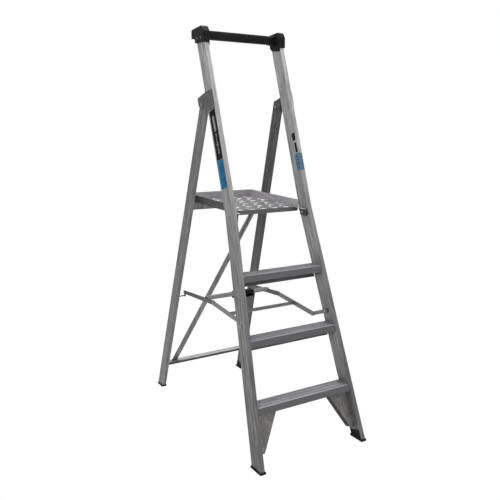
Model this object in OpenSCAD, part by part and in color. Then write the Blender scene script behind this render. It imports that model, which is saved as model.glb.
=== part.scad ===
// Folding platform step ladder: front frame with three treads, a kerbed
// platform hinged to it, a rear frame hinged near the top, and a folding
// spreader. X is across the ladder, +Y runs from the front to the rear, +Z up.

/* [Front frame] */
// Lean of the front frame back from upright, degrees
front_lean = 18.35; // [18.2:0.05:18.5]
// Depth of a front stile, front to back
stile_d = 77.5; // [76:0.5:78]
// Width of a front stile
stile_w = 24.6; // [24:0.2:25]
// Half the outside width where the stiles become parallel
top_half = 243.3; // [243:0.1:243.6]
// Half the outside width at the floor
foot_half = 325.8; // [320:1:330]

/* [Treads] */
// Height of the first tread
tread_first = 286; // [284:1:290]
// Height between treads
tread_pitch = 303; // [300:1:304]
// Depth of a tread
tread_d = 84.7; // [84:0.1:85]

/* [Platform] */
// Length of the deck, front to back
deck_l = 500.5; // [490:0.5:505]
// Height of the kerb above the deck
kerb_h = 37; // [20:0.5:40]

/* [Feet] */
// Thickness of the rubber soles
sole_t = 11; // [9:1:12]

/* [Hidden] */
$fn = 40;

big = 4000;
// Distance from the front of the front feet to the origin, in the middle of the footprint
mid_y = 633;
tan_f = tan(front_lean);
cos_f = cos(front_lean);

// Front frame, measured in its own leaning plane: x across, v back from the
// front faces of the stiles, s up along the frame
bend_z = 1200;
bend_s = bend_z / cos_f;
splay = atan((foot_half - top_half) / bend_s);
stile_top_s = 2204;
web_t = 2.4;
flange_t = 2.6;
lip_w = 7;
// Depth of the panel in the outer wall, and the ribs that run along it, as shares
// of the depth of the section
panel = 1.4;
rib_at = [0.33, 0.67];

// Rear frame, measured in its own leaning plane in the same way
rear_y = 1203.3;
rear_lean = 17.07;
rear_d = 62.5;
rear_w = 24;
rear_foot_half = 302.8;
hinge_s = 1795;
hinge_v = 31;
rear_top_half = 241.6;
rear_splay = atan((rear_foot_half - rear_top_half) / hinge_s);
leg_top_s = hinge_s + 30;

// Pivots in the side view, as y from the front feet and z from the floor
hinge = [706, 1725];
deck_pivot = [428, 1168];
rod_pivot = [262, 652];
link_pivot = [1041, 622];
knee = [669, 663.5];
rod_bend = [326, 627];
link_heel = [1049, 639];

sheet = 2.5;
gap = 0.3;
rivet_r = 2.4;
head_r = 4.2;
head_h = 1.6;
bolt_r = 4;
bolt_head_r = 7;
bolt_head_h = 4;
running = 0.05;
// Space left between parts that lie against each other on a splayed face
touch = 0.05;

tread_in = 3;
tread_lip = 31;
tread_tail = 70;
tread_z = [tread_first, tread_first + tread_pitch, tread_first + 2 * tread_pitch];

deck_tilt = 2;
deck_half = 217;
deck_top = 22.5;
deck_front = 47.5;
kerb_start = 52;
lip_h = 23;
arm_in = 190;
arm_x = 212;
arm_t = 3;
arm_front = -29;
arm_l = 190;
arm_low = 18;
bearing_x = 217.5;

link_x = 204.5;
rod_x = 209;
bar_t = 4;
bar_h = 26;
hook_h = 14;

// ---------------------------------------------------------------- placing

module floor_frame() { translate([0, -mid_y, 0]) children(); }

module front_plane() { floor_frame() rotate([-front_lean, 0, 0]) children(); }

module rear_plane() { floor_frame() translate([0, rear_y, 0]) rotate([rear_lean, 0, 0]) children(); }

// Left is the copy of right in the mirror plane of the ladder
module side(left) { if (left) mirror([1, 0, 0]) children(); else children(); }

module both() { children(); mirror([1, 0, 0]) children(); }

// Everything above the level h
module above(h) {
  intersection() {
    children();
    translate([-big, -big, h]) cube([2 * big, 2 * big, big]);
  }
}

// Frame on the inner face of the splayed right stile at the distance s: x outwards
module on_stile(s) {
  translate([top_half, 0, bend_s]) rotate([0, -splay, 0])
    translate([-stile_w, 0, (s - bend_s) / cos(splay)]) children();
}

// Frame on the inner face of the right rear leg at the distance s: x outwards
module on_leg(s) {
  translate([rear_foot_half, 0, 0]) rotate([0, -rear_splay, 0])
    translate([-rear_w, 0, s / cos(rear_splay)]) children();
}

// A side view polygon in y and z, spread from x0 to x1
module slab(x0, x1) {
  translate([x0, 0, 0]) rotate([90, 0, 90]) linear_extrude(x1 - x0) children();
}

// A round bar along x, from x0 to x1
module bar_x(r, x0, x1, y = 0, z = 0) {
  translate([x0, y, z]) rotate([0, 90, 0]) cylinder(r = r, h = x1 - x0);
}

// A flat bar between two points of the side view, with round ends
module flat_link(a, b, x0, x1, h) {
  run = norm(b - a);
  translate([x0, a[0], a[1]]) rotate([atan2(b[1] - a[1], b[0] - a[0]), 0, 0]) {
    translate([0, 0, -h / 2]) cube([x1 - x0, run, h]);
    bar_x(h / 2, 0, x1 - x0);
    bar_x(h / 2, 0, x1 - x0, run);
  }
}

// ---------------------------------------------------------------- sections

// Hollow section: plain wall on the inside, ribbed panel in the outer wall
module hollow(w, d) {
  square([web_t, d]);
  for (v = [0, d - flange_t]) translate([0, v]) square([w, flange_t]);
  translate([w - panel - flange_t, 0]) square([flange_t, d]);
  for (v = [0, d - lip_w]) translate([w - flange_t, v]) square([flange_t, lip_w]);
  for (v = rib_at * d) translate([w - panel - 1, v - 1]) square([panel + 0.8, 2]);
}

module tread_section() {
  skew = tan_f;
  difference() {
    polygon([[0, 0], [tread_d, 0], [tread_d - tread_tail * skew, -tread_tail],
      [-tread_tail * skew, -tread_tail]]);
    polygon([[sheet - sheet * skew, -sheet], [tread_d - sheet - sheet * skew, -sheet],
      [tread_d - sheet - tread_tail * skew - skew, -tread_tail - 1],
      [sheet - tread_tail * skew - skew, -tread_tail - 1]]);
    polygon([[-20, -tread_lip], [30, -tread_lip], [30, -tread_tail - 1], [-60, -tread_tail - 1]]);
  }
}

// Grip ribs along the top of a tread
rib_pitch = 9;
module tread_ribs() {
  for (y = [6 : rib_pitch : tread_d - 6]) translate([-400, y, -1]) cube([800, 2.2, 2.1]);
}

// Side view of a block with rounded corners
module rounded(w, h, r) {
  translate([-w / 2, r - h / 2]) square([w, h - 2 * r]);
  translate([r - w / 2, -h / 2]) square([w - 2 * r, h]);
  for (y = [-1, 1], z = [-1, 1]) translate([y * (w / 2 - r), z * (h / 2 - r)]) circle(r);
}

// ---------------------------------------------------------------- front frame

// Holes through the inner wall of a front stile for the rivets of the tread brackets
module stile_holes() {
  for (z = tread_z, i = [0 : 2]) tread_rivet_at(z, i) rivet_hole();
}

// The line of a bent stile at a depth in from its outer face, as x and s
function stile_edge(inset) = [
  [top_half + (bend_s + 60) * tan(splay) - inset / cos(splay), -60],
  [top_half - inset, bend_s - inset * tan(splay / 2)],
  [top_half - inset, stile_top_s]];

function reversed(list) = [for (i = [len(list) - 1 : -1 : 0]) list[i]];

// The part of a stile between two depths from its outer face, from v0 to v1
module stile_band(inset0, inset1, v0, v1) {
  translate([0, v1, 0]) rotate([90, 0, 0]) linear_extrude(v1 - v0)
    polygon(concat(stile_edge(inset0), reversed(stile_edge(inset1))));
}

module stile_solid() {
  difference() {
    stile_band(0, stile_w, 0, stile_d);
    stile_band(panel + flange_t, stile_w - web_t, flange_t, stile_d - flange_t);
    stile_band(-5, panel, lip_w, stile_d - lip_w);
    stile_holes();
    gusset_holes();
  }
  for (v = rib_at * stile_d)
    stile_band(0.2, panel + 1, v - 1, v + 1);
}

module front_stile(left) {
  color("silver") above(sole_t) side(left) difference() {
    front_plane() stile_solid();
    floor_frame() {
      for (q = [deck_pivot, rod_pivot]) bar_x(bolt_r + running, 210, 300, q[0], q[1]);
      for (q = concat(hinge_rivet_at, cap_screw_at))
        bar_x(rivet_r + running, wall_in - 1, top_half + 1, q[0], q[1]);
    }
  }
}

// The space between the inner faces of the front stiles, less a margin each side
module between_stiles(margin = 0) {
  edge = stile_edge(stile_w + margin + touch);
  front_plane() translate([0, 400, 0]) rotate([90, 0, 0]) linear_extrude(800)
    polygon(concat(edge, [for (q = reversed(edge)) [-q[0], q[1]]]));
}

module tread(i) {
  z = tread_z[i];
  color("gainsboro") difference() {
    intersection() {
      between_stiles();
      floor_frame() translate([0, z * tan_f + tread_in, z]) union() {
        slab(-400, 400) tread_section();
        tread_ribs();
      }
    }
    both() tread_tabs(i) {
      cylinder(r = rivet_r + running, h = 20, center = true);
      // The grip ribs stop at the rivet heads
      translate([0, 0, sheet]) cylinder(r = head_r + gap, h = 5);
    }
  }
}

// Rivets through the top of a tread and the bracket leg below it
module tread_tabs(i) {
  z = tread_z[i];
  half = foot_half - (foot_half - top_half) * z / bend_z - stile_w;
  floor_frame() for (y = tab_rivet_y)
    translate([half - 19, z * tan_f + tread_in + y, z - sheet]) children();
}

// Angle inside each tread end: one leg on the stile web, one under the tread
bracket_h = 30;
bracket_d = 64;
bracket_leg = 34;
bracket_in = foot_half - (foot_half - top_half) * tread_first / bend_z - stile_w - bracket_leg;

module tread_bracket(i) {
  z = tread_z[i];
  y0 = z * tan_f + tread_in + 8;
  difference() {
    intersection() {
      between_stiles();
      floor_frame() translate([0, y0, z - bracket_h]) cube([400, bracket_d, bracket_h - sheet]);
    }
    intersection() {
      between_stiles(sheet);
      floor_frame() translate([0, y0 - 1, z - bracket_h - 1])
        cube([400, bracket_d + 2, bracket_h + 1 - 2 * sheet]);
    }
    between_stiles(bracket_leg);
    front_plane() for (j = [0 : 2]) tread_rivet_at(z, j) rivet_hole();
    tread_tabs(i) cylinder(r = rivet_r + running, h = 20, center = true);
  }
}

module tread_brackets() { color("darkgray") both() for (i = [0 : 2]) tread_bracket(i); }

// Rivet places on the web beside a tread, in the stile frame
web_rivet_v = [18, 38.75, 59.5];
tab_rivet_y = [24, 60];

module tread_rivet_at(z, j) {
  v = web_rivet_v[j];
  s = (z - 14) / cos_f + v * tan_f;
  on_stile(s) translate([0, v, 0]) children();
}

// A hole for a rivet through a web and the sheet on its inner face
module rivet_hole() { bar_x(rivet_r + running, -6, web_t + 2); }

// A rivet from x0 to x1 with a head at each end
module rivet_x(x0, x1) {
  back = x0 - 2 * touch;
  bar_x(rivet_r, back, x1);
  bar_x(head_r, back - head_h, back);
  bar_x(head_r, x1, x1 + head_h);
}

module tread_rivets() {
  color("lightgray") both() {
    front_plane() for (z = tread_z, j = [0 : 2]) tread_rivet_at(z, j) rivet_x(-sheet, web_t);
    for (i = [0 : 2]) tread_tabs(i) sheet_rivet();
  }
}

// Sheet brace from the stile to the underside of the first tread
gusset_v = 31;
gusset_low = [265.3, 85];
gusset_high = [164.6, 266.6];
gusset_t = 2;
gusset_lip = 36;
gusset_web = 26;
gusset_run = gusset_low - gusset_high;

module gusset(left) {
  slope = gusset_run[0] / gusset_run[1];
  top_s = (tread_first - sheet - gap) / cos_f + gusset_v * tan_f;
  top_x = gusset_high[0] + (top_s - gusset_high[1]) * slope;
  edge = gusset_low - [top_x, top_s];
  color("gray") side(left) difference() {
    intersection() {
      between_stiles();
      front_plane() {
        translate([0, gusset_v + gusset_t, 0]) rotate([90, 0, 0]) linear_extrude(gusset_t)
          polygon([[top_x, top_s], gusset_low, gusset_low + [40, -5], [gusset_low[0] + 40, top_s]]);
        // Flange turned back along the sloping edge
        translate([top_x, gusset_v, top_s]) rotate([0, atan2(edge[0], edge[1]), 0])
          translate([-gusset_t, 0, 0]) cube([gusset_t, gusset_lip, norm(edge)]);
        // Flange against the stile web
        on_stile(gusset_low[1]) translate([-gusset_t - touch, gusset_v, 0])
          cube([gusset_t, gusset_web, top_s - gusset_low[1] - 10]);
      }
    }
    front_plane() gusset_holes();
    // Top cut level below the tread, and a corner cut clear of its bracket
    floor_frame() {
      translate([0, 0, tread_first - sheet - gap]) cube([400, 300, 60]);
      translate([bracket_in - 4, 0, tread_first - bracket_h - gap]) cube([100, 300, 60]);
    }
  }
}

module gusset_rivet_at() {
  for (s = [112, 190]) on_stile(s) translate([0, gusset_v + 8, 0]) children();
}

module gusset_holes() { gusset_rivet_at() rivet_hole(); }

module gusset_rivets() {
  color("lightgray") both() front_plane() gusset_rivet_at() rivet_x(-gusset_t, web_t);
}

// Rubber shoe: a sole under the stile and a tongue up its inner face
module front_foot(left) {
  outer = foot_half + 2;
  color("black") side(left) {
    floor_frame() translate([outer - stile_w - 7, -2, 0]) cube([stile_w + 7, 91, sole_t]);
    above(sole_t - 0.01) front_plane() on_stile(-10) translate([-3.5 - touch, 6, 0])
      cube([3.5, stile_d - 12, 74]);
  }
}

// ---------------------------------------------------------------- handrail

cap_in = 214.5;
cap_out = 250;
cap_screw_at = [[702, 2062], [742, 2062]];

module cap_outline() {
  polygon([[672, 2040], [768, 2041], [771, 2060], [809, 2068], [809, 2106], [800, 2112],
    [696, 2121], [686, 2114], [672, 2093]]);
}

module handrail_cap(left) {
  color("black") side(left) difference() {
    floor_frame() {
      slab(cap_in, cap_out) cap_outline();
      slab(cap_in, cap_in + 3.8)
        polygon([[672, 2041], [764, 2041], [752, 2030], [700, 2023], [672, 2023]]);
    }
    // Socket for the stile
    front_plane() translate([top_half - stile_w - gap, -gap, 2000])
      cube([stile_w + 2 * gap, stile_d + 2 * gap, stile_top_s - 2000 + gap]);
    floor_frame() for (q = cap_screw_at)
      bar_x(rivet_r + running, top_half, cap_out + 1, q[0], q[1]);
    // Hollow of the overhanging nose
    floor_frame() translate([cap_in + 4, 778, 2076]) cube([cap_out - cap_in - 8, 27, 20]);
  }
}

module grip_outline(w, h) { translate([738, 2082]) rounded(w, h, 13); }

module handrail_grip() {
  color("black") floor_frame() {
    slab(-196, 196) grip_outline(36, 46);
    both() slab(196, cap_in) grip_outline(42, 52);
  }
}

module handrail_screws() {
  color("dimgray") both() floor_frame() for (q = cap_screw_at) {
    bar_x(rivet_r, wall_in - 3, cap_out, q[0], q[1]);
    bar_x(4.5, cap_out, cap_out + 2, q[0], q[1]);
  }
}

// ---------------------------------------------------------------- hinge

plate_t = 3;
plate_out = top_half + plate_t;
// Inner face of the outer wall of a stile above the bend
wall_in = top_half - panel - flange_t;
hinge_rivet_at = [[606, 1793], [654, 1776], [582, 1722], [624, 1710]];

module hinge_outline() {
  polygon([[757, 1762], [668, 1791], [598, 1803], [584, 1760], [570, 1708], [578, 1702],
    [640, 1698], [690, 1704], [730, 1706], [746, 1724]]);
}

module hinge_plate(left) {
  color("dimgray") side(left) difference() {
    floor_frame() slab(top_half, plate_out) hinge_outline();
    floor_frame() {
      bar_x(bolt_r + 1 + running, top_half - 1, plate_out + 1, hinge[0], hinge[1]);
      for (q = hinge_rivet_at)
        bar_x(rivet_r + running, top_half - 1, plate_out + 1, q[0], q[1]);
    }
  }
}

module hinge_rivets() {
  color("lightgray") both() floor_frame() for (q = hinge_rivet_at) translate([0, q[0], q[1]]) {
    bar_x(rivet_r, wall_in, plate_out);
    bar_x(head_r, plate_out, plate_out + head_h);
    bar_x(head_r, wall_in - head_h, wall_in);
  }
}

// Inner face of the splayed web where a bolt at the side view point q passes it
function web_at(q) = top_half - stile_w / cos(splay)
  + (bend_s - q[0] * sin(front_lean) - q[1] * cos_f) * tan(splay);

deck_web = web_at(deck_pivot);

// Low head of a through bolt, lying in the outer panel of a section of width w
// whose inner face is at the distance web
module outer_head(web, w, r = bolt_head_r) {
  x = web + w - panel + 2 * gap;
  bar_x(r, x, x + low_head);
  bar_x(bolt_r, web - 2, x + 1);
}
low_head = 3;

module platform_pivot_bolts() {
  color("lightgray") both() floor_frame() translate([0, deck_pivot[0], deck_pivot[1]]) {
    bar_x(bolt_r, arm_x - arm_t - 1, deck_web);
    outer_head(deck_web, stile_w);
    // Shoulder between the bearing and the stile
    bar_x(bolt_head_r, bearing_x + gap, deck_web - 2 * gap);
    bar_x(bolt_head_r + 1, arm_x - arm_t - bolt_head_h, arm_x - arm_t - gap);
  }
}

rod_eye = 245;

module spreader_front_bolts() {
  color("lightgray") both() floor_frame() translate([0, rod_pivot[0], rod_pivot[1]]) {
    bar_x(bolt_r, rod_eye - 1, web_at(rod_pivot));
    outer_head(web_at(rod_pivot), stile_w);
    bar_x(bolt_head_r, rod_eye - bolt_head_h, rod_eye - gap);
  }
}

// ---------------------------------------------------------------- rear frame

// The rear pivot of the spreader in the rear frame's own plane
pin_v = (link_pivot[0] - rear_y) * cos(rear_lean) + link_pivot[1] * sin(rear_lean);
pin_s = (rear_y - link_pivot[0]) * sin(rear_lean) + link_pivot[1] * cos(rear_lean);
pin_head_r = 5.5;
pin_web = rear_foot_half - rear_w / cos(rear_splay) - pin_s * tan(rear_splay);

module rear_leg(left) {
  color("silver") above(sole_t) side(left) rear_plane() difference() {
    on_leg(-40) linear_extrude(leg_top_s + 40) hollow(rear_w, rear_d);
    translate([0, hinge_v, hinge_s]) bar_x(bolt_r + 1 + running, 200, 300);
    translate([0, pin_v, pin_s]) bar_x(bolt_r + running, 200, 300);
    rear_rivet_at() rivet_hole();
  }
}

module between_legs(margin = 0) {
  low = rear_foot_half - rear_w / cos(rear_splay) - margin - touch;
  high = low - leg_top_s * tan(rear_splay);
  rear_plane() translate([0, 400, 0]) rotate([90, 0, 0]) linear_extrude(800)
    polygon([[-low, 0], [low, 0], [high, leg_top_s], [-high, leg_top_s]]);
}

// Angle across the rear legs that carries the platform: a web parallel to the
// legs and a top flange just under the deck
beam_h = 43;
beam_d = 34;
beam_gap = 0.4;
lean_run = tan(rear_lean);

// Height of the underside of the deck, in the side view
function deck_under(y) = deck_pivot[1] + (y - deck_pivot[0]) * tan(deck_tilt)
  + (deck_top - sheet) / cos(deck_tilt);

// Distance of the diagonal strap behind the fronts of the rear legs
strap_v = 25.6;
// The back of the beam's web lies against the strap
beam_v = strap_v - sheet * cos(rear_lean) - touch;
beam_y = (beam_v + rear_y * cos(rear_lean) - sin(rear_lean) * (deck_under(0) - beam_gap))
  / (cos(rear_lean) + sin(rear_lean) * tan(deck_tilt));
beam_z = deck_under(beam_y) - beam_gap;
beam_back = beam_y + beam_d;
beam_end_z = deck_under(beam_back) - beam_gap;

module rear_beam() {
  low = beam_z - beam_h;
  foot = beam_y + beam_h * lean_run;
  color("dimgray") difference() {
    intersection() {
      between_legs();
      floor_frame() union() {
        slab(-300, 300) polygon([[beam_y, beam_z], [beam_back, beam_end_z],
          [beam_back, beam_end_z - sheet], [beam_y + sheet * (1 + lean_run), beam_z - sheet],
          [foot + sheet, low], [foot, low]]);
        // Turned-in ends that the leg rivets pass through
        both() difference() {
          slab(200, 300) polygon([[beam_y, beam_z], [beam_back, beam_end_z],
            [foot + beam_d, low], [foot, low]]);
          translate([0, mid_y, 0]) between_legs(sheet);
        }
      }
    }
    both() rear_plane() beam_rivet_at() rivet_hole();
    strap_top_at() cylinder(r = rivet_r + running, h = 20, center = true);
  }
}

module beam_rivet_at() {
  for (s = [1214, 1231]) on_leg(s) translate([0, rear_d / 2, 0]) children();
}

// Flat channel low down between the rear legs
bar_top = 170;
bar_drop = 14;
bar_d = 50;
bar_y = rear_y - bar_top * lean_run + 1.5;

module rear_lower_bar() {
  low = bar_top - bar_drop;
  color("gainsboro") difference() {
    intersection() {
      between_legs();
      floor_frame() {
        translate([-300, bar_y, bar_top - sheet]) cube([600, bar_d, sheet]);
        translate([-300, bar_y, low]) cube([600, sheet, bar_drop]);
        translate([-300, bar_y + bar_d - sheet, low]) cube([600, sheet, bar_drop]);
        // Turned-down ends that the leg rivets pass through
        both() difference() {
          translate([240, bar_y, low]) cube([60, bar_d, bar_drop]);
          translate([0, mid_y, 0]) between_legs(sheet);
        }
      }
    }
    both() rear_plane() lower_rivet_at() rivet_hole();
    strap_foot_at() cylinder(r = rivet_r + running, h = 20, center = true);
  }
}

module lower_rivet_at() {
  s = (bar_top - bar_drop / 2) / cos(rear_lean);
  for (v = [13, rear_d / 2]) on_leg(s - v * lean_run) translate([0, v, 0]) children();
}

module rear_rivet_at() {
  beam_rivet_at() children();
  lower_rivet_at() children();
}

// Flat strap from the top of the lower bar on the left to the back of the beam on
// the right, in a plane parallel to the rear legs
strap_low = [-223, 178];
strap_high = [201, 1225];
strap_w = 36;
strap_foot_y = rear_y + strap_v * cos(rear_lean) - strap_low[1] * sin(rear_lean);
strap_foot = [strap_low[0] - 20, strap_foot_y - 14];

module rear_diagonal() {
  run = strap_high - strap_low;
  color("dimgray") difference() {
    union() {
      above(bar_top) rear_plane() translate([strap_low[0], strap_v, strap_low[1]])
        rotate([0, atan2(run[0], run[1]), 0]) {
          translate([-strap_w / 2, 0, -40]) cube([strap_w, sheet, norm(run) + 40]);
          translate([0, 0, norm(run)]) rotate([-90, 0, 0]) cylinder(r = strap_w / 2, h = sheet);
        }
      // Foot turned flat on the lower bar
      floor_frame() translate([strap_foot[0] - 12, strap_foot[1] - 10, bar_top])
        cube([50, 27, sheet]);
    }
    strap_foot_at() cylinder(r = rivet_r + running, h = 20, center = true);
    strap_top_at() cylinder(r = rivet_r + running, h = 20, center = true);
  }
}

module strap_foot_at() {
  floor_frame() translate([strap_foot[0], strap_foot[1], bar_top]) children();
}

module strap_top_at() {
  rear_plane() translate([strap_high[0], strap_v, strap_high[1]]) rotate([-90, 0, 0]) children();
}

// A rivet along z through two sheets that meet at z = 0
module sheet_rivet() {
  translate([0, 0, -sheet]) cylinder(r = rivet_r, h = 2 * sheet);
  translate([0, 0, -sheet - head_h]) cylinder(r = head_r, h = head_h);
  translate([0, 0, sheet]) cylinder(r = head_r, h = head_h - 0.4);
}

module rear_rivets() {
  color("lightgray") {
    both() rear_plane() rear_rivet_at() rivet_x(-sheet, web_t);
    strap_foot_at() sheet_rivet();
    strap_top_at() sheet_rivet();
  }
}

module rear_foot(left) {
  color("black") side(left) {
    floor_frame() translate([rear_foot_half - rear_w - 4, rear_y - 2, 0])
      cube([rear_w + 6, 66.7, sole_t]);
    above(sole_t - 0.01) rear_plane() on_leg(-10) translate([-3 - touch, 6, 0])
      cube([3, rear_d - 12, 44]);
  }
}

module hinge_pivot_bolts() {
  color("lightgray") both() floor_frame() translate([0, hinge[0], hinge[1]]) {
    bar_x(bolt_r + 1, rear_top_half - rear_w - 3, plate_out + 1);
    bar_x(9, plate_out + 0.4, plate_out + 5);
    bar_x(8, rear_top_half - rear_w - 6, rear_top_half - rear_w - 1.5);
  }
}

// ---------------------------------------------------------------- platform

module platform_frame() {
  floor_frame() translate([0, deck_pivot[0], deck_pivot[1]]) rotate([deck_tilt, 0, 0]) children();
}

module platform_deck() {
  deck_back = deck_front + deck_l;
  low = deck_top - sheet;
  notch = low - sheet - gap;
  color("rosybrown") platform_frame() difference() {
    union() {
      translate([-deck_half, deck_front, low]) cube([2 * deck_half, deck_l, sheet]);
      // Front lip, notched for the arms
      translate([gap - arm_in, deck_front, deck_top - lip_h])
        cube([2 * (arm_in - gap), sheet, lip_h]);
      translate([arm_t + gap - arm_x, deck_front, deck_top - lip_h])
        cube([2 * (arm_x - arm_t - gap), sheet, notch - deck_top + lip_h]);
      // Kerb on three sides
      both() translate([deck_half - sheet, kerb_start, low])
        cube([sheet, deck_back - kerb_start, kerb_h + sheet]);
      translate([-deck_half, deck_back - sheet, low])
        cube([2 * deck_half, sheet, kerb_h + sheet]);
    }
    both() arm_rivet_at() cylinder(r = rivet_r + running, h = 40, center = true);
  }
}

// Angle under each side of the deck, with the pivot hole in its upright leg
module platform_arm(left) {
  leg_top = deck_top - sheet;
  color("darkgray") side(left) platform_frame() difference() {
    union() {
      translate([arm_in, arm_front, leg_top - sheet]) cube([arm_x - arm_in, arm_l, sheet]);
      translate([arm_x - arm_t, arm_front, -arm_low]) cube([arm_t, arm_l, leg_top + arm_low]);
    }
    // The upright leg tapers to the rear
    translate([arm_x - 10, 10, -arm_low]) rotate([45, 0, 0]) translate([0, 0, -arm_l])
      cube([20, 2 * arm_l, arm_l]);
    bar_x(bolt_r + running, arm_in, arm_x + 5);
    arm_rivet_at() cylinder(r = rivet_r + running, h = 40, center = true);
  }
}

module arm_rivet_at() {
  for (u = [75, 140]) translate([(arm_in + arm_x - arm_t) / 2, u, deck_top - sheet]) children();
}

// Rivets through deck and arm, flush with the top of the deck
module platform_rivets() {
  color("lightgray") both() platform_frame() arm_rivet_at() {
    translate([0, 0, -sheet]) cylinder(r = rivet_r, h = 2 * sheet);
    translate([0, 0, -sheet - head_h]) cylinder(r = head_r, h = head_h);
  }
}

// Moulded bearing on the outer side of each arm, next to the stile
module platform_bearings() {
  color("black") both() platform_frame() difference() {
    translate([0, 0, -5]) slab(arm_x, bearing_x) rounded(58, 26, 6);
    bar_x(bolt_r + running, arm_x - 1, bearing_x + 1);
  }
}

// ---------------------------------------------------------------- spreader

// A point a along a direction from p, and b to its left
function offset_from(p, dir, a, b) = p + a * dir + b * [-dir[1], dir[0]];
function toward(a, b) = (b - a) / norm(b - a);

// Side outline of a rear link: a bar with a round end at the knee, and a hook
// down to the pivot
link_dir = toward(knee, link_heel);
hook_dir = toward(link_heel, link_pivot);
hook_rise = 7.6;
heel_past = 9;

function arc_at(p, dir, r, from, to) =
  [for (t = [from : 15 : to]) offset_from(p, dir, r * cos(t), r * sin(t))];

link_outline = concat(
  arc_at(knee, link_dir, bar_h / 2, 90, 270),
  [offset_from(link_pivot, hook_dir, -hook_rise, -hook_h / 2)],
  arc_at(link_pivot, hook_dir, hook_h / 2, -90, 90),
  [offset_from(link_heel, link_dir, heel_past, -3)],
  [offset_from(link_heel, link_dir, heel_past, bar_h / 2)]);

module spreader_link(left) {
  color("dimgray") side(left) floor_frame() slab(link_x, link_x + bar_t) polygon(link_outline);
}

// Pins fixed in the links, with their heads in the outer panels of the rear legs
module spreader_rear_pins() {
  color("lightgray") both() floor_frame() translate([0, link_pivot[0], link_pivot[1]]) {
    bar_x(bolt_r, link_x + bar_t, pin_web);
    outer_head(pin_web, rear_w, pin_head_r);
  }
}

// The point at a distance along the line from a to b
function along(a, b, run) = a + run * toward(a, b);

cross_at = along(link_heel, knee, 285);
strip_at = along(rod_bend, knee, 183);
cross_w = 34;
cross_low = 3;
cross_h = 19;

module cross_frame() {
  tilt = atan2(link_heel[1] - knee[1], link_heel[0] - knee[0]);
  floor_frame() translate([0, cross_at[0], cross_at[1]]) rotate([tilt, 0, 0]) children();
}

module cross_box(x0, x1, y0, y1, z0, z1) {
  translate([x0, y0, z0]) cube([x1 - x0, y1 - y0, z1 - z0]);
}

// Channel with its open side down, between the inner faces of the links
module spreader_cross_channel() {
  half = cross_w / 2;
  top = cross_low + cross_h;
  color("darkgray") cross_frame() difference() {
    cross_box(-link_x, link_x, -half, half, cross_low, top);
    cross_box(-link_x - 1, link_x + 1, 2 - half, half - 2, cross_low - 1, top - 2);
  }
}

// Moulded grip clipped round the channel
grip_x = [-30, 96];
grip_t = 4;

module spreader_grip() {
  half = cross_w / 2;
  top = cross_low + cross_h;
  color("black") cross_frame() difference() {
    cross_box(grip_x[0], grip_x[1], -half - grip_t, half + grip_t, -13, top + grip_t);
    cross_box(grip_x[0] - 1, grip_x[1] + 1, -half - touch, half + touch,
      cross_low - touch, top + touch);
    // Finger space under the channel
    cross_box(grip_x[0] + 8, grip_x[1] - 8, -half - grip_t - 1, half - 2, -9, cross_low + 1);
  }
}

eye_r = 13;

module spreader_rod(left) {
  rim = along(rod_pivot, rod_bend, eye_r - 3);
  eye = [rod_eye + bar_t / 2, rim[0], rim[1]];
  start = [rod_x + bar_t / 2, rod_bend[0], rod_bend[1]];
  d = eye - start;
  color("dimgray") side(left) floor_frame() {
    difference() {
      union() {
        flat_link(rod_bend, knee, rod_x, rod_x + bar_t, bar_h);
        // Bent end that reaches out to the eye
        translate(start) rotate([0, -atan2(d[2], norm([d[0], d[1]])), atan2(d[1], d[0])])
          translate([0, -bar_t / 2, -10]) cube([norm(d), bar_t, 20]);
        bar_x(eye_r, rod_eye, rod_eye + bar_t, rod_pivot[0], rod_pivot[1]);
      }
      bar_x(bolt_r + running, 230, 260, rod_pivot[0], rod_pivot[1]);
    }
  }
}

module spreader_front_strip() {
  tilt = atan2(knee[1] - rod_bend[1], knee[0] - rod_bend[0]);
  color("darkgray") floor_frame() translate([-rod_x, strip_at[0], strip_at[1]])
    rotate([tilt, 0, 0]) translate([0, -1.5, -14]) cube([2 * rod_x, 3, 20]);
}

// Heads on the outer faces of the rods at the knee
module spreader_knee_rivets() {
  x = rod_x + bar_t;
  color("lightgray") both() floor_frame() bar_x(5.5, x, x + 2.5, knee[0], knee[1]);
}

// ---------------------------------------------------------------- nodes

front_stile(true);  // front_stile_left
front_stile(false);  // front_stile_right
tread(0);  // tread_1
tread(1);  // tread_2
tread(2);  // tread_3
tread_brackets();
tread_rivets();
gusset(true);  // gusset_left
gusset(false);  // gusset_right
gusset_rivets();
front_foot(true);  // front_foot_left
front_foot(false);  // front_foot_right
handrail_cap(true);  // handrail_cap_left
handrail_cap(false);  // handrail_cap_right
handrail_grip();
handrail_screws();
hinge_plate(true);  // hinge_plate_left
hinge_plate(false);  // hinge_plate_right
hinge_rivets();
platform_pivot_bolts();
spreader_front_bolts();
rear_leg(true);  // rear_leg_left
rear_leg(false);  // rear_leg_right
rear_beam();
rear_lower_bar();
rear_diagonal();
rear_rivets();
rear_foot(true);  // rear_foot_left
rear_foot(false);  // rear_foot_right
hinge_pivot_bolts();
platform_deck();
platform_arm(true);  // platform_arm_left
platform_arm(false);  // platform_arm_right
platform_rivets();
platform_bearings();
spreader_link(true);  // spreader_link_left
spreader_link(false);  // spreader_link_right
spreader_cross_channel();
spreader_rear_pins();
spreader_grip();
spreader_rod(true);  // spreader_rod_left
spreader_rod(false);  // spreader_rod_right
spreader_front_strip();
spreader_knee_rivets();
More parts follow.
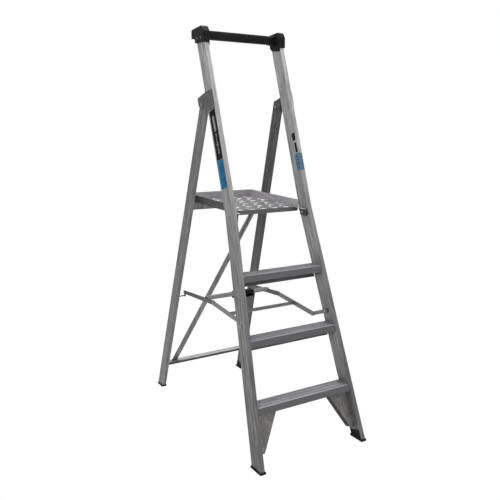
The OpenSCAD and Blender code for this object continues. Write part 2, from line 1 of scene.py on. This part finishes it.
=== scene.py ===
import math
import random
import bpy
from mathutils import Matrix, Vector


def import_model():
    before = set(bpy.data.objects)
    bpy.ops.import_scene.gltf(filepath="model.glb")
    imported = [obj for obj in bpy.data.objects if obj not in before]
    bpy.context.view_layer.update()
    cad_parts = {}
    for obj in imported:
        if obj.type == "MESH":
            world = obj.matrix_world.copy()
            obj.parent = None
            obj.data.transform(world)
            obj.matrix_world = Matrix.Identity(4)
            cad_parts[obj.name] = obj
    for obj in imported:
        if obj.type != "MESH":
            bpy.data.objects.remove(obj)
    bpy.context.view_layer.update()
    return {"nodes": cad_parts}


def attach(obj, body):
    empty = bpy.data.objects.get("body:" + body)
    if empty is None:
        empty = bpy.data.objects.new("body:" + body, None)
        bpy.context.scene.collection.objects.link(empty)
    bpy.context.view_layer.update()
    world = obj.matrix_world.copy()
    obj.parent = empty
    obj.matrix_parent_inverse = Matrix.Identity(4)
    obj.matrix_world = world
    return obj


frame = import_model()
nodes = frame["nodes"]

# Lengths are in millimetres. Here y runs back from the front feet; the frame's own y starts at MID_Y
MM = 0.001
MID_Y = 633.0
FRONT_LEAN = math.radians(18.35)
REAR_LEAN = math.radians(17.07)

# Stiles and treads
TOP_HALF = 243.3
STILE_W = 24.6
STILE_D = 77.5
TREAD_IN = 3.0
GROOVE_PITCH = 27.0

# Platform: its pivot as y and z, its top above the pivot, and how deep its outer faces are taken to be
# for their painted shade
DECK_TILT = math.radians(2)
DECK_PIVOT = (428.0, 1168.0)
DECK_TOP = 22.5
DECK_HALF = 217.0
DECK_SKIN = 1.3
# Back edge of the front lip; in front of it the deck gets painted shade
LIP_BACK_Y = 478.3

# The recess in the outer wall of a stile, and its ribs, placed by shares of the stile's depth
PANEL = 1.4
RIB_AT = (0.33, 0.67)
RIB_FOOT = 1.6
RIB_CREST = 1.1

# The pattern rolled into the deck: half length and height of a mark, how far it is sunk, where its
# ridge ends, and the rows from the first to the last behind the pivot
MARK_LONG = 21.0
MARK_HIGH = 1.2
MARK_SINK = 0.02
MARK_RIDGE = 0.45
MARK_PITCH = 71.0
MARK_ROW = 94.0
MARK_REACH = 196.0
MARK_FIRST = 66.0
MARK_LAST = 535.0

# Stickers lie just off the metal, and the bars on them lie just off the sticker
STICKER_LIFT = 0.15
PRINT_LIFT = 0.25
STICKER_T = 0.15
STICKER_EDGE = 8.0
LINE_H = 5.0

# Heights that the stickers and their bars run between, and heights that lines start at
LEFT_BLACK = (1452, 1698)
LEFT_BLUE = (1312, 1450)
LEFT_BAR = (1592, 1668)
LEFT_DASHES = (1478.0, 1580.0)
LEFT_LINES = (1335, 1352, 1392, 1408, 1424)
RIGHT_UPPER_BAR = (1538, 1577)
RIGHT_LOWER_BAR = (1474, 1524)
RIGHT_BLUE = (1378, 1468)
RIGHT_LINES = (1392, 1412, 1434, 1452)

# The body that the stickers ride on
FRONT = "front_frame"

# Rounding of edges, in metres
EDGE = 0.0008
FINE_EDGE = 0.0004

# Camera and light: the lens in millimetres, the place in metres with y from the front feet
LENS = 44.52
CAMERA_PLACE = (-1.7533, -2.24165, 1.5907)
CAMERA_LOOK = (0.51185, 0.83827, -0.18789)
WORLD_LIGHT = 0.4


# ---------------------------------------------------------------- places

def floor_point(x, y, z):
    """A point given in millimetres, with y from the front feet."""
    return Vector((x, y - MID_Y, z)) * MM


def front_point(x, v, s):
    """A point in the front frame's own plane: v back from the stile fronts, s up along them."""
    c, k = math.cos(FRONT_LEAN), math.sin(FRONT_LEAN)
    return floor_point(x, v * c + s * k, s * c - v * k)


def deck_point(x, u, w):
    """A point in the platform's own frame: u back from the pivot, w up from it."""
    c, k = math.cos(DECK_TILT), math.sin(DECK_TILT)
    return floor_point(x, DECK_PIVOT[0] + u * c - w * k, DECK_PIVOT[1] + u * k + w * c)


# ---------------------------------------------------------------- materials

class Nodes:
    """Short names for building a material's node tree."""

    def __init__(self, name):
        self.mat = bpy.data.materials.new(name)
        self.mat.use_nodes = True
        self.tree = self.mat.node_tree
        self.tree.nodes.clear()
        self.out = self.add("ShaderNodeOutputMaterial")
        self.bsdf = self.add("ShaderNodeBsdfPrincipled")
        self.join(self.bsdf.outputs[0], self.out.inputs[0])
        self.coord = self.add("ShaderNodeTexCoord").outputs["Object"]

    def add(self, kind, **props):
        node = self.tree.nodes.new(kind)
        for key, value in props.items():
            setattr(node, key, value)
        return node

    def join(self, a, b):
        self.tree.links.new(a, b)

    def put(self, socket, value):
        if isinstance(value, bpy.types.NodeSocket):
            self.join(value, socket)
        else:
            socket.default_value = value

    def mapped(self, scale, tilt=0.0):
        """The object's own coordinates, leaned by tilt and then stretched by scale."""
        m = self.add("ShaderNodeMapping")
        m.inputs["Scale"].default_value = scale
        turn = self.add("ShaderNodeMapping")
        turn.inputs["Rotation"].default_value = (tilt, 0, 0)
        self.join(self.coord, turn.inputs["Vector"])
        self.join(turn.outputs[0], m.inputs["Vector"])
        return m.outputs[0]

    def noise(self, vector, scale, detail=3.0, rough=0.55):
        n = self.add("ShaderNodeTexNoise")
        self.join(vector, n.inputs["Vector"])
        n.inputs["Scale"].default_value = scale
        n.inputs["Detail"].default_value = detail
        n.inputs["Roughness"].default_value = rough
        return n.outputs["Fac"]

    def ramp(self, fac, low, high, a=0.0, b=1.0):
        """fac between low and high, spread over a to b."""
        r = self.add("ShaderNodeMapRange")
        self.join(fac, r.inputs["Value"])
        for key, value in zip(("From Min", "From Max", "To Min", "To Max"), (low, high, a, b)):
            r.inputs[key].default_value = value
        return r.outputs["Result"]

    def mix(self, fac, a, b, blend="MIX"):
        m = self.add("ShaderNodeMix", data_type="RGBA", blend_type=blend)
        self.put(m.inputs["Factor"], fac)
        self.put(m.inputs["A"], a)
        self.put(m.inputs["B"], b)
        return m.outputs["Result"]

    def math(self, kind, a, b=0.0):
        m = self.add("ShaderNodeMath", operation=kind)
        self.put(m.inputs[0], a)
        self.put(m.inputs[1], b)
        return m.outputs[0]

    def bump(self, height, strength, distance):
        b = self.add("ShaderNodeBump")
        b.inputs["Strength"].default_value = strength
        b.inputs["Distance"].default_value = distance
        self.join(height, b.inputs["Height"])
        return b.outputs[0]

    def split(self, vector):
        """The X, Y and Z sockets of a vector."""
        parts = self.add("ShaderNodeSeparateXYZ")
        self.join(vector, parts.inputs[0])
        return parts.outputs

    def height(self):
        return self.split(self.coord)["Z"]

    def facing_up(self):
        """One on faces that look up, minus one on faces that look down."""
        return self.split(self.add("ShaderNodeNewGeometry").outputs["True Normal"])["Z"]

    def upright(self):
        """One on upright faces, nothing on level ones: the mask for painted light and shade on them.
        """
        return self.ramp(self.math("ABSOLUTE", self.facing_up()), 0.75, 0.35)

    def below(self):
        """One on faces that look down, nothing on the rest: the mask for painted shade."""
        return self.ramp(self.facing_up(), -0.3, -0.45)

    def behind_nose(self):
        """Distance of a point behind the slope that the tread noses lie on."""
        place = self.split(self.coord)
        slope = self.math("MULTIPLY", place["Z"], math.tan(FRONT_LEAN))
        flat = self.math("SUBTRACT", place["Y"], slope)
        return self.math("ADD", flat, (MID_Y - TREAD_IN) * MM)

    def before(self, axis, edge):
        """One where the object is short of an edge along an axis, nothing past it."""
        blur = 0.8 * MM
        return self.ramp(self.split(self.coord)[axis], edge, edge - blur)

    def shade(self, fac, tone, value):
        """The tone times a value, below one to darken it, where fac is one."""
        return self.mix(fac, tone, self.mix(1.0, tone, grey(value), "MULTIPLY"))

    def set(self, name, value):
        self.put(self.bsdf.inputs[name], value)


def grey(v, warm=0.0):
    """A grey, with some red added and blue taken away where it is warm."""
    return (v + warm, v, v - warm, 1.0)


def scaled(colour, k):
    """The colour times k."""
    return tuple(c * k for c in colour[:3]) + (1.0,)


def extruded(name, low, high, rough, tilt=0.0, metallic=0.85, along=(260, 260, 5)):
    """Brushed extrusion: streaks along its length, blotches, smudges high up, scratches, a tone
    that runs from foot to top, and painted shade on faces that look down."""
    n = Nodes(name)
    streak = n.noise(n.mapped(tuple(0.45 * a for a in along), tilt), 1.0, 5.0, 0.65)
    fine = n.noise(n.mapped(tuple(5 * a for a in along), tilt), 1.0, 2.0, 0.5)
    blotch = n.noise(n.coord, 7.0, 4.0, 0.6)
    tone = n.mix(n.ramp(n.height(), 0.3, 2.0), low, high)
    tone = n.shade(n.ramp(streak, 0.38, 0.62, 0.0, 0.75), tone, 0.6)
    tone = n.shade(n.ramp(blotch, 0.35, 0.7, 0.0, 0.45), tone, 0.8)
    band = n.noise(n.mapped((85, 85, 6), tilt), 1.0, 3.0, 0.7)
    tone = n.shade(n.ramp(band, 0.5, 0.62, 0.0, 0.8), tone, 0.66)
    tone = n.shade(n.ramp(band, 0.46, 0.36, 0.0, 0.8), tone, 1.3)
    smudge = n.ramp(n.noise(n.mapped((90, 60, 28), tilt), 1.0, 4.0, 0.7), 0.56, 0.66, 0.0, 0.55)
    tone = n.shade(n.math("MULTIPLY", smudge, n.ramp(n.height(), 1.45, 1.6)), tone, 0.55)
    scratch = n.ramp(n.noise(n.mapped((40, 40, 600), tilt + 0.5), 1.0, 2.0), 0.72, 0.78)
    tone = n.mix(n.math("MULTIPLY", scratch, 0.35), tone, grey(0.75))
    # Painted shade: faces that look down are darkened to 0.3 of the tone
    n.set("Base Color", n.shade(n.below(), tone, 0.3))
    n.set("Metallic", metallic)
    n.set("Roughness", n.ramp(streak, 0.2, 0.8, rough - 0.07, rough + 0.1))
    n.set("Normal", n.bump(n.math("ADD", fine, streak), 0.12, 0.0003))
    return n.mat


def tread_metal(name, base, rough, front, nose=1.7):
    """Ribbed tread: streaks across the ladder, dirt, painted shade in the grooves and on the upright
    front, and a painted highlight on the nose.
    """
    n = Nodes(name)
    streak = n.noise(n.mapped((6, 300, 300)), 1.0, 4.0, 0.6)
    dirt = n.noise(n.coord, 24.0, 5.0, 0.65)
    tone = n.mix(n.ramp(streak, 0.3, 0.7, 0.0, 0.45), base, scaled(base, 0.66))
    tone = n.mix(n.ramp(dirt, 0.5, 0.75, 0.0, 0.5), tone, scaled(base, 0.5))
    band = n.noise(n.mapped((9, 60, 110)), 1.0, 3.0, 0.7)
    tone = n.shade(n.ramp(band, 0.5, 0.62, 0.0, 0.6), tone, 0.72)
    tone = n.shade(n.ramp(band, 0.46, 0.36, 0.0, 0.6), tone, 1.25)
    back = n.behind_nose()
    # Painted shade in the grooves between the ribs
    groove = n.ramp(n.math("MODULO", back, GROOVE_PITCH * MM), 0.011, 0.014, 0.0, 0.6)
    tone = n.shade(groove, tone, 0.6)
    # Painted highlight along the nose: the tone scaled by nose
    tone = n.mix(n.ramp(back, 0.011, 0.008, 0.0, 0.8), tone, scaled(base, nose))
    # Painted shade: upright faces, the tread fronts, are dimmed to the share front
    n.set("Base Color", n.shade(n.upright(), tone, front))
    n.set("Metallic", 0.5)
    n.set("Roughness", n.ramp(dirt, 0.3, 0.7, rough - 0.05, rough + 0.15))
    n.set("Normal", n.bump(streak, 0.15, 0.0003))
    return n.mat


def deck_metal(name, base):
    """Rolled sheet: a dull dirty deck, painted light that brightens its upright kerb faces, and
    painted shade on the outer faces at its left and front.
    """
    n = Nodes(name)
    dirt = n.noise(n.coord, 30.0, 5.0, 0.7)
    blotch = n.noise(n.coord, 5.0, 3.0)
    tone = n.mix(n.ramp(dirt, 0.35, 0.7, 0.0, 0.6), base, scaled(base, 0.6))
    tone = n.mix(n.ramp(blotch, 0.4, 0.7, 0.0, 0.4), tone, scaled(base, 1.3))
    # Painted shade on the outer face of the left kerb
    tone = n.shade(n.before("X", (DECK_SKIN - DECK_HALF) * MM), tone, 0.18)
    # Painted shade on the front lip, in front of LIP_BACK_Y
    tone = n.shade(n.before("Y", (LIP_BACK_Y - MID_Y) * MM), tone, 0.31)
    # Painted light: upright faces, mainly the kerb walls, are made 2.55 times brighter
    n.set("Base Color", n.shade(n.upright(), tone, 2.55))
    n.set("Metallic", 0.5)
    n.set("Roughness", n.ramp(dirt, 0.3, 0.7, 0.32, 0.5))
    n.set("Normal", n.bump(dirt, 0.15, 0.0004))
    return n.mat


def arm_metal(name, base):
    """Angle under the deck: bright on top, dirt all over, and painted shade that darkens its upright
    leg.
    """
    n = Nodes(name)
    dirt = n.noise(n.coord, 40.0, 5.0, 0.7)
    tone = n.mix(n.ramp(dirt, 0.4, 0.7, 0.0, 0.6), base, scaled(base, 0.7))
    # Painted shade: the upright leg is darkened to 0.14 of the tone
    n.set("Base Color", n.shade(n.upright(), tone, 0.14))
    n.set("Metallic", 0.4)
    n.set("Roughness", n.ramp(dirt, 0.3, 0.7, 0.35, 0.55))
    n.set("Normal", n.bump(dirt, 0.15, 0.0003))
    return n.mat


def bright_marks(name):
    """Tops of the raised marks, near white as a painted highlight, with a little noise in colour and
    roughness.
    """
    n = Nodes(name)
    wear_and_glint = n.noise(n.coord, 60.0, 4.0, 0.6)
    # Painted highlight: the marks are coloured near white to stand in for the light they catch
    n.set("Base Color", n.mix(n.ramp(wear_and_glint, 0.5, 0.8), grey(1.0), grey(0.8)))
    n.set("Metallic", 0.1)
    n.set("Roughness", n.ramp(wear_and_glint, 0.3, 0.7, 0.25, 0.45))
    n.set("Normal", n.bump(wear_and_glint, 0.1, 0.0003))
    return n.mat


def painted(name, base, rough, metallic=0.3):
    """Dark coated steel with rubbed spots."""
    n = Nodes(name)
    rub = n.noise(n.coord, 45.0, 5.0, 0.65)
    grain = n.noise(n.coord, 900.0, 2.0)
    tone = n.mix(n.ramp(rub, 0.55, 0.75, 0.0, 0.5), base, scaled(base, 1.9))
    n.set("Base Color", tone)
    n.set("Metallic", metallic)
    n.set("Roughness", n.ramp(rub, 0.3, 0.7, rough - 0.08, rough + 0.1))
    n.set("Normal", n.bump(grain, 0.15, 0.0002))
    return n.mat


def moulded(name, base, rough, grain_scale, grain_depth):
    """Moulded plastic or rubber: fine pebble grain and faint dust."""
    n = Nodes(name)
    grain = n.noise(n.coord, grain_scale, 3.0, 0.6)
    dust = n.noise(n.coord, 18.0, 4.0, 0.7)
    tone = n.mix(n.ramp(dust, 0.5, 0.8, 0.0, 0.35), base, tuple(c + 0.03 for c in base[:3]) + (1.0,))
    n.set("Base Color", tone)
    n.set("Roughness", n.ramp(dust, 0.3, 0.7, rough - 0.06, rough + 0.12))
    n.set("Specular IOR Level", 0.25)
    n.set("Normal", n.bump(grain, 0.35, grain_depth))
    return n.mat


def fastener(name, value):
    """Plain bright fastener, turned and a little dull."""
    n = Nodes(name)
    tarnish = n.noise(n.coord, 320.0, 3.0)
    n.set("Base Color", n.mix(n.ramp(tarnish, 0.4, 0.7), grey(value), grey(value * 0.6, 0.01)))
    n.set("Metallic", 0.9)
    n.set("Roughness", n.ramp(tarnish, 0.3, 0.7, 0.3, 0.5))
    n.set("Normal", n.bump(tarnish, 0.1, 0.0002))
    return n.mat


def vinyl(name, colour, rough=0.35):
    """Printed sticker: a flat colour, faintly scuffed."""
    n = Nodes(name)
    scuff = n.noise(n.coord, 70.0, 5.0, 0.7)
    n.set("Base Color", n.mix(n.ramp(scuff, 0.62, 0.8, 0.0, 0.25), colour, grey(0.42)))
    n.set("Specular IOR Level", 0.2)
    n.set("Roughness", n.ramp(scuff, 0.3, 0.7, rough - 0.05, rough + 0.15))
    n.set("Normal", n.bump(scuff, 0.05, 0.0002))
    return n.mat


MATS = {
    "stile": extruded("stile_aluminium", low=grey(0.27, 0.002), high=grey(0.64, 0.003),
                      rough=0.42, tilt=FRONT_LEAN, metallic=0.5),
    "leg": extruded("leg_aluminium", low=grey(0.33), high=grey(0.36),
                    rough=0.45, tilt=-REAR_LEAN, metallic=0.5),
    # A darker copy of the leg material: painted shade for the right rear leg
    "leg_shaded": extruded("shaded_leg_aluminium", low=grey(0.17), high=grey(0.17),
                         rough=0.5, tilt=-REAR_LEAN, metallic=0.5),
    # In tread_metal, front sets how far painted shade dims upright faces, nose how bright the painted
    # highlight on the nose is
    "tread": tread_metal("tread_aluminium", (0.79, 0.78, 0.83, 1), rough=0.38, front=0.24, nose=0.98),
    "bar_low": tread_metal("lower_bar_aluminium", (0.72, 0.72, 0.72, 1), rough=0.45, front=0.16),
    "sheet": extruded("sheet_aluminium", low=grey(0.36, 0.01), high=grey(0.33),
                      rough=0.48, metallic=0.8, along=(40, 40, 40)),
    "deck": deck_metal("deck_aluminium", (0.250, 0.244, 0.255, 1)),
    "marks": bright_marks("marks_painted_highlight"),
    "bar": painted("spreader_grey", grey(0.15), rough=0.45, metallic=0.5),
    # A lighter copy of the spreader grey: painted highlight along the rod
    "rod": painted("spreader_rod_grey", grey(0.26), rough=0.4, metallic=0.5),
    "plate": painted("hinge_plate_grey", grey(0.14), rough=0.5),
    "arm": arm_metal("arm_aluminium", grey(0.6)),
    # The strip also gets painted shade on its upright faces and the default painted highlight on its
    # nose
    "strip": tread_metal("strip_aluminium", (0.55, 0.55, 0.56, 1), rough=0.4, front=0.8),
    "vinyl_black": vinyl("vinyl_black", (0.003, 0.003, 0.003, 1)),
    "vinyl_grey": vinyl("vinyl_grey", (0.30, 0.30, 0.31, 1)),
    "vinyl_blue": vinyl("vinyl_blue", (0.01, 0.16, 0.36, 1)),
    "vinyl_dark_blue": vinyl("vinyl_dark_blue", (0.008, 0.05, 0.12, 1)),
    "vinyl_pale_blue": vinyl("vinyl_pale_blue", (0.12, 0.22, 0.32, 1)),
    "plastic": moulded("black_plastic", (0.006, 0.006, 0.007, 1), rough=0.42,
                       grain_scale=1400.0, grain_depth=0.0002),
    "rubber": moulded("black_rubber", (0.01, 0.01, 0.01, 1), rough=0.7,
                      grain_scale=900.0, grain_depth=0.0004),
    "fastener": fastener("fastener_steel", 0.5),
}

NODE_MATERIAL = {
    # rear_leg_right takes the darker copy of the leg material, as painted shade
    "front_stile": "stile", "rear_leg_right": "leg_shaded", "rear_leg": "leg",
    "tread_brackets": "sheet", "tread_rivets": "fastener", "tread_": "tread",
    "gusset_rivets": "fastener", "gusset": "sheet", "front_foot": "rubber",
    "rear_foot": "rubber", "handrail_screws": "fastener", "handrail": "plastic",
    "hinge_plate": "plate", "hinge_rivets": "fastener", "hinge_pivot": "fastener",
    "platform_bearings": "plastic", "platform_pivot_bolts": "fastener",
    "platform_rivets": "fastener", "platform_deck": "deck", "platform_arm": "arm",
    "spreader_front_bolts": "fastener", "spreader_grip": "plastic",
    "spreader_rear_pins": "fastener", "spreader_knee": "fastener",
    "spreader_front_strip": "strip", "spreader_cross_channel": "strip", "spreader_rod": "rod",
    "spreader": "bar",
    "rear_rivets": "fastener", "rear_beam": "leg", "rear_lower_bar": "bar_low",
    "rear_diagonal": "leg",
}


def material_for(name):
    """The material of the first entry that the name starts with."""
    for start, key in NODE_MATERIAL.items():
        if name.startswith(start):
            return MATS[key]
    raise KeyError(name)


def soften(obj, width):
    """Small rounded edges, so corners catch the light."""
    weld = obj.modifiers.new("weld", "WELD")
    weld.merge_threshold = 0.00001
    bevel = obj.modifiers.new("bevel", "BEVEL")
    bevel.width = width
    bevel.segments = 2
    bevel.limit_method = "ANGLE"
    bevel.angle_limit = math.radians(40)
    bevel.harden_normals = True


def dress(name, obj):
    """Material and edges of a CAD node; small fasteners get finer edges."""
    obj.data.materials.clear()
    obj.data.materials.append(material_for(name))
    small = any(word in name for word in ("rivets", "screws", "pins", "bolts"))
    soften(obj, FINE_EDGE if small else EDGE)


for name, obj in sorted(nodes.items()):
    dress(name, obj)


# ---------------------------------------------------------------- deck pattern and stickers

def sheet_piece(name, points, faces, mat, body):
    """A new piece of the visual model that rides on a body."""
    mesh = bpy.data.meshes.new(name)
    mesh.from_pydata([tuple(p) for p in points], [], faces)
    mesh.materials.append(mat)
    obj = bpy.data.objects.new(name, mesh)
    bpy.context.scene.collection.objects.link(obj)
    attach(obj, body)
    return obj


def strip(name, place, profile, ends, mat, body):
    """A thin strip whose cross profile is (x, v) pairs, from s = ends[0] to ends[1]."""
    points = [place(x, v, s) for s in ends for x, v in profile]
    count = len(profile)
    faces = [(i, i + 1, count + i + 1, count + i) for i in range(count - 1)]
    obj = sheet_piece(name, points, faces, mat, body)
    thick = obj.modifiers.new("thick", "SOLIDIFY")
    thick.thickness = STICKER_T * MM
    thick.offset = 0
    return obj


def mark(points, faces, x, u, turn, wide):
    """A lens-shaped raised mark: a long low hump on the deck."""
    ring = 12
    start = len(points)
    for k in range(ring):
        a = 2 * math.pi * k / ring
        p, q = MARK_LONG * math.cos(a), wide * math.sin(a) * abs(math.sin(a)) ** 0.4
        points.append(deck_point(x + p * math.cos(turn) - q * math.sin(turn),
                                 u + p * math.sin(turn) + q * math.cos(turn), DECK_TOP - MARK_SINK))
    for p in (-MARK_RIDGE * MARK_LONG, MARK_RIDGE * MARK_LONG):
        points.append(deck_point(x + p * math.cos(turn), u + p * math.sin(turn),
                                 DECK_TOP + MARK_HIGH))
    left, right = start + ring, start + ring + 1
    for k in range(ring):
        a, b = start + k, start + (k + 1) % ring
        top = left if ring // 4 <= k < 3 * ring // 4 else right
        faces.append((a, b, top))
    faces.append((start + ring // 4, left, right))
    faces.append((start + 3 * ring // 4, right, left))
    faces.append(tuple(start + ring - 1 - k for k in range(ring)))


def deck_marks(name, first_u, shift, turn, wide):
    """One direction of the pattern rolled into the deck: staggered rows across it."""
    points, faces = [], []
    rows = int((MARK_LAST - first_u) / MARK_ROW) + 1
    for j in range(rows):
        offset = shift if j % 2 else 0.0
        for i in range(-3, 4):
            x = MARK_PITCH * i + offset
            if abs(x) < MARK_REACH:
                mark(points, faces, x, first_u + MARK_ROW * j, turn, wide)
    obj = sheet_piece(name, points, faces, MATS["marks"], "platform")
    for poly in obj.data.polygons:
        poly.use_smooth = True


deck_marks("deck_marks_left_leaning", first_u=MARK_FIRST, shift=MARK_PITCH / 2,
           turn=math.radians(-36), wide=13.5)
deck_marks("deck_marks_right_leaning", first_u=MARK_FIRST + MARK_ROW / 2, shift=-MARK_PITCH / 2,
           turn=math.radians(38), wide=8.0)


def web_profile(x, rib_x, v0, v1):
    """Across the outer panel of a stile from v0 to v1, over its two ribs."""
    line = [(x, v0)]
    for share in RIB_AT:
        v = share * STILE_D
        if v0 < v - RIB_FOOT and v + RIB_FOOT < v1:
            line += [(x, v - RIB_FOOT), (rib_x, v - RIB_CREST),
                     (rib_x, v + RIB_CREST), (x, v + RIB_FOOT)]
    return line + [(x, v1)]


def lift(profile, dx):
    """The same profile, moved off by dx."""
    return [(x + dx, v) for x, v in profile]


def up(z):
    """Distance along the front frame at the height z."""
    return z / math.cos(FRONT_LEAN) + 0.5 * STILE_D * math.tan(FRONT_LEAN)


def between(heights):
    """Distances along the front frame at two heights."""
    return tuple(up(z) for z in heights)


def printed_dashes(x, rib_x):
    """Ragged short bars in place of small print, from the top of LEFT_DASHES down."""
    rng = random.Random(7)
    low, z = LEFT_DASHES
    count = 0
    while z > low:
        tall = rng.uniform(4.0, 9.0)
        v0 = rng.uniform(29.0, 34.0)
        line = lift(web_profile(x, rib_x, v0, rng.uniform(41.0, 48.5)), -PRINT_LIFT)
        strip("sticker_left_dash_%d" % count, front_point, line, between((z - tall, z)),
              MATS["vinyl_grey"], FRONT)
        z -= tall + rng.uniform(3.0, 6.0)
        count += 1


def printed_lines(side, heights, profile_at):
    """Dark blue bars on a blue sticker, each a little longer or shorter than the last."""
    for k, z in enumerate(heights):
        strip("sticker_%s_line_%d" % (side, k), front_point, profile_at(k % 2),
              between((z, z + LINE_H)), MATS["vinyl_dark_blue"], FRONT)


def left_stickers():
    """Black over blue on the whole outer panel of the left stile."""
    x = PANEL - TOP_HALF - STICKER_LIFT
    rib_x = x - PANEL + 0.1
    whole = web_profile(x, rib_x, STICKER_EDGE, STILE_D - STICKER_EDGE)
    strip("sticker_left_black", front_point, whole, between(LEFT_BLACK), MATS["vinyl_black"], FRONT)
    strip("sticker_left_blue", front_point, whole, between(LEFT_BLUE), MATS["vinyl_blue"], FRONT)
    middle = lift(web_profile(x, rib_x, 29.0, 48.5), -PRINT_LIFT)
    strip("sticker_left_bar", front_point, middle, between(LEFT_BAR), MATS["vinyl_grey"], FRONT)
    printed_dashes(x, rib_x)
    printed_lines("left", LEFT_LINES,
                  lambda odd: lift(web_profile(x, rib_x, 14.0, 40.0 + 5 * odd), -PRINT_LIFT))


def right_stickers():
    """Two black bars on the inner face of the right stile, and a blue sticker round its front."""
    x = TOP_HALF - STILE_W - STICKER_LIFT
    front = -STICKER_LIFT
    strip("sticker_right_bar_upper", front_point, [(x, 1.5), (x, 31)], between(RIGHT_UPPER_BAR),
          MATS["vinyl_black"], FRONT)
    strip("sticker_right_bar_lower", front_point, [(x, 1.5), (x, 21)], between(RIGHT_LOWER_BAR),
          MATS["vinyl_black"], FRONT)
    wrap = [(x, 35), (x, front), (TOP_HALF - 1.5, front)]
    strip("sticker_right_blue", front_point, wrap, between(RIGHT_BLUE), MATS["vinyl_pale_blue"], FRONT)
    printed_lines("right", RIGHT_LINES,
                  lambda odd: [(x - PRINT_LIFT, 6), (x - PRINT_LIFT, 24 + 4 * odd)])


left_stickers()
right_stickers()


# ---------------------------------------------------------------- setting

def floor():
    """Ground that throws light up at the ladder but looks plain white to the camera."""
    size = 30.0
    mesh = bpy.data.meshes.new("floor")
    mesh.from_pydata([(-size, -size, 0), (size, -size, 0), (size, size, 0), (-size, size, 0)], [],
                     [(0, 1, 2, 3)])
    obj = bpy.data.objects.new("floor", mesh)
    bpy.context.scene.collection.objects.link(obj)
    n = Nodes("floor_white")
    n.set("Base Color", (0.8, 0.8, 0.8, 1))
    n.set("Roughness", 0.9)
    glow = n.add("ShaderNodeEmission")
    pick = n.add("ShaderNodeMixShader")
    n.join(n.add("ShaderNodeLightPath").outputs["Is Camera Ray"], pick.inputs[0])
    n.join(n.bsdf.outputs[0], pick.inputs[1])
    n.join(glow.outputs[0], pick.inputs[2])
    n.join(pick.outputs[0], n.out.inputs[0])
    mesh.materials.append(n.mat)


def soft_light(name, place, height, size, power):
    """A square light of a given side, turned to a height on the ladder's middle line."""
    data = bpy.data.lights.new(name, "AREA")
    data.shape = "RECTANGLE"
    data.size = size
    data.size_y = size
    data.energy = power
    obj = bpy.data.objects.new(name, data)
    obj.location = place
    obj.rotation_mode = "QUATERNION"
    obj.rotation_quaternion = (Vector((0, 0, height)) - Vector(place)).to_track_quat("-Z", "Y")
    bpy.context.scene.collection.objects.link(obj)


def world():
    """White where the camera looks past the ladder, dimmer as light on it."""
    w = bpy.data.worlds.new("world")
    bpy.context.scene.world = w
    w.use_nodes = True
    tree = w.node_tree
    soft = tree.nodes["Background"]
    soft.inputs[0].default_value = (1, 1, 1, 1)
    soft.inputs[1].default_value = WORLD_LIGHT
    white = tree.nodes.new("ShaderNodeBackground")
    white.inputs[0].default_value = (1, 1, 1, 1)
    pick = tree.nodes.new("ShaderNodeMixShader")
    path = tree.nodes.new("ShaderNodeLightPath")
    tree.links.new(path.outputs["Is Camera Ray"], pick.inputs[0])
    tree.links.new(soft.outputs[0], pick.inputs[1])
    tree.links.new(white.outputs[0], pick.inputs[2])
    tree.links.new(pick.outputs[0], tree.nodes["World Output"].inputs[0])


def camera():
    """A plain camera at CAMERA_PLACE that looks along CAMERA_LOOK."""
    data = bpy.data.cameras.new("camera")
    data.sensor_width = 36
    data.lens = LENS
    obj = bpy.data.objects.new("camera", data)
    obj.location = Vector(CAMERA_PLACE) - Vector((0, MID_Y * MM, 0))
    obj.rotation_mode = "QUATERNION"
    obj.rotation_quaternion = Vector(CAMERA_LOOK).to_track_quat("-Z", "Y")
    bpy.context.scene.collection.objects.link(obj)
    bpy.context.scene.camera = obj


floor()
world()
soft_light("key", place=(2.5, -3.5, 4.5), height=1.2, size=2.5, power=30)
soft_light("fill", place=(-4.5, -1.5, 3.0), height=1.0, size=3.0, power=50)
soft_light("top", place=(0, 1.0, 5.0), height=1.0, size=3.0, power=160)
camera()
bpy.context.scene.view_settings.view_transform = "Standard"
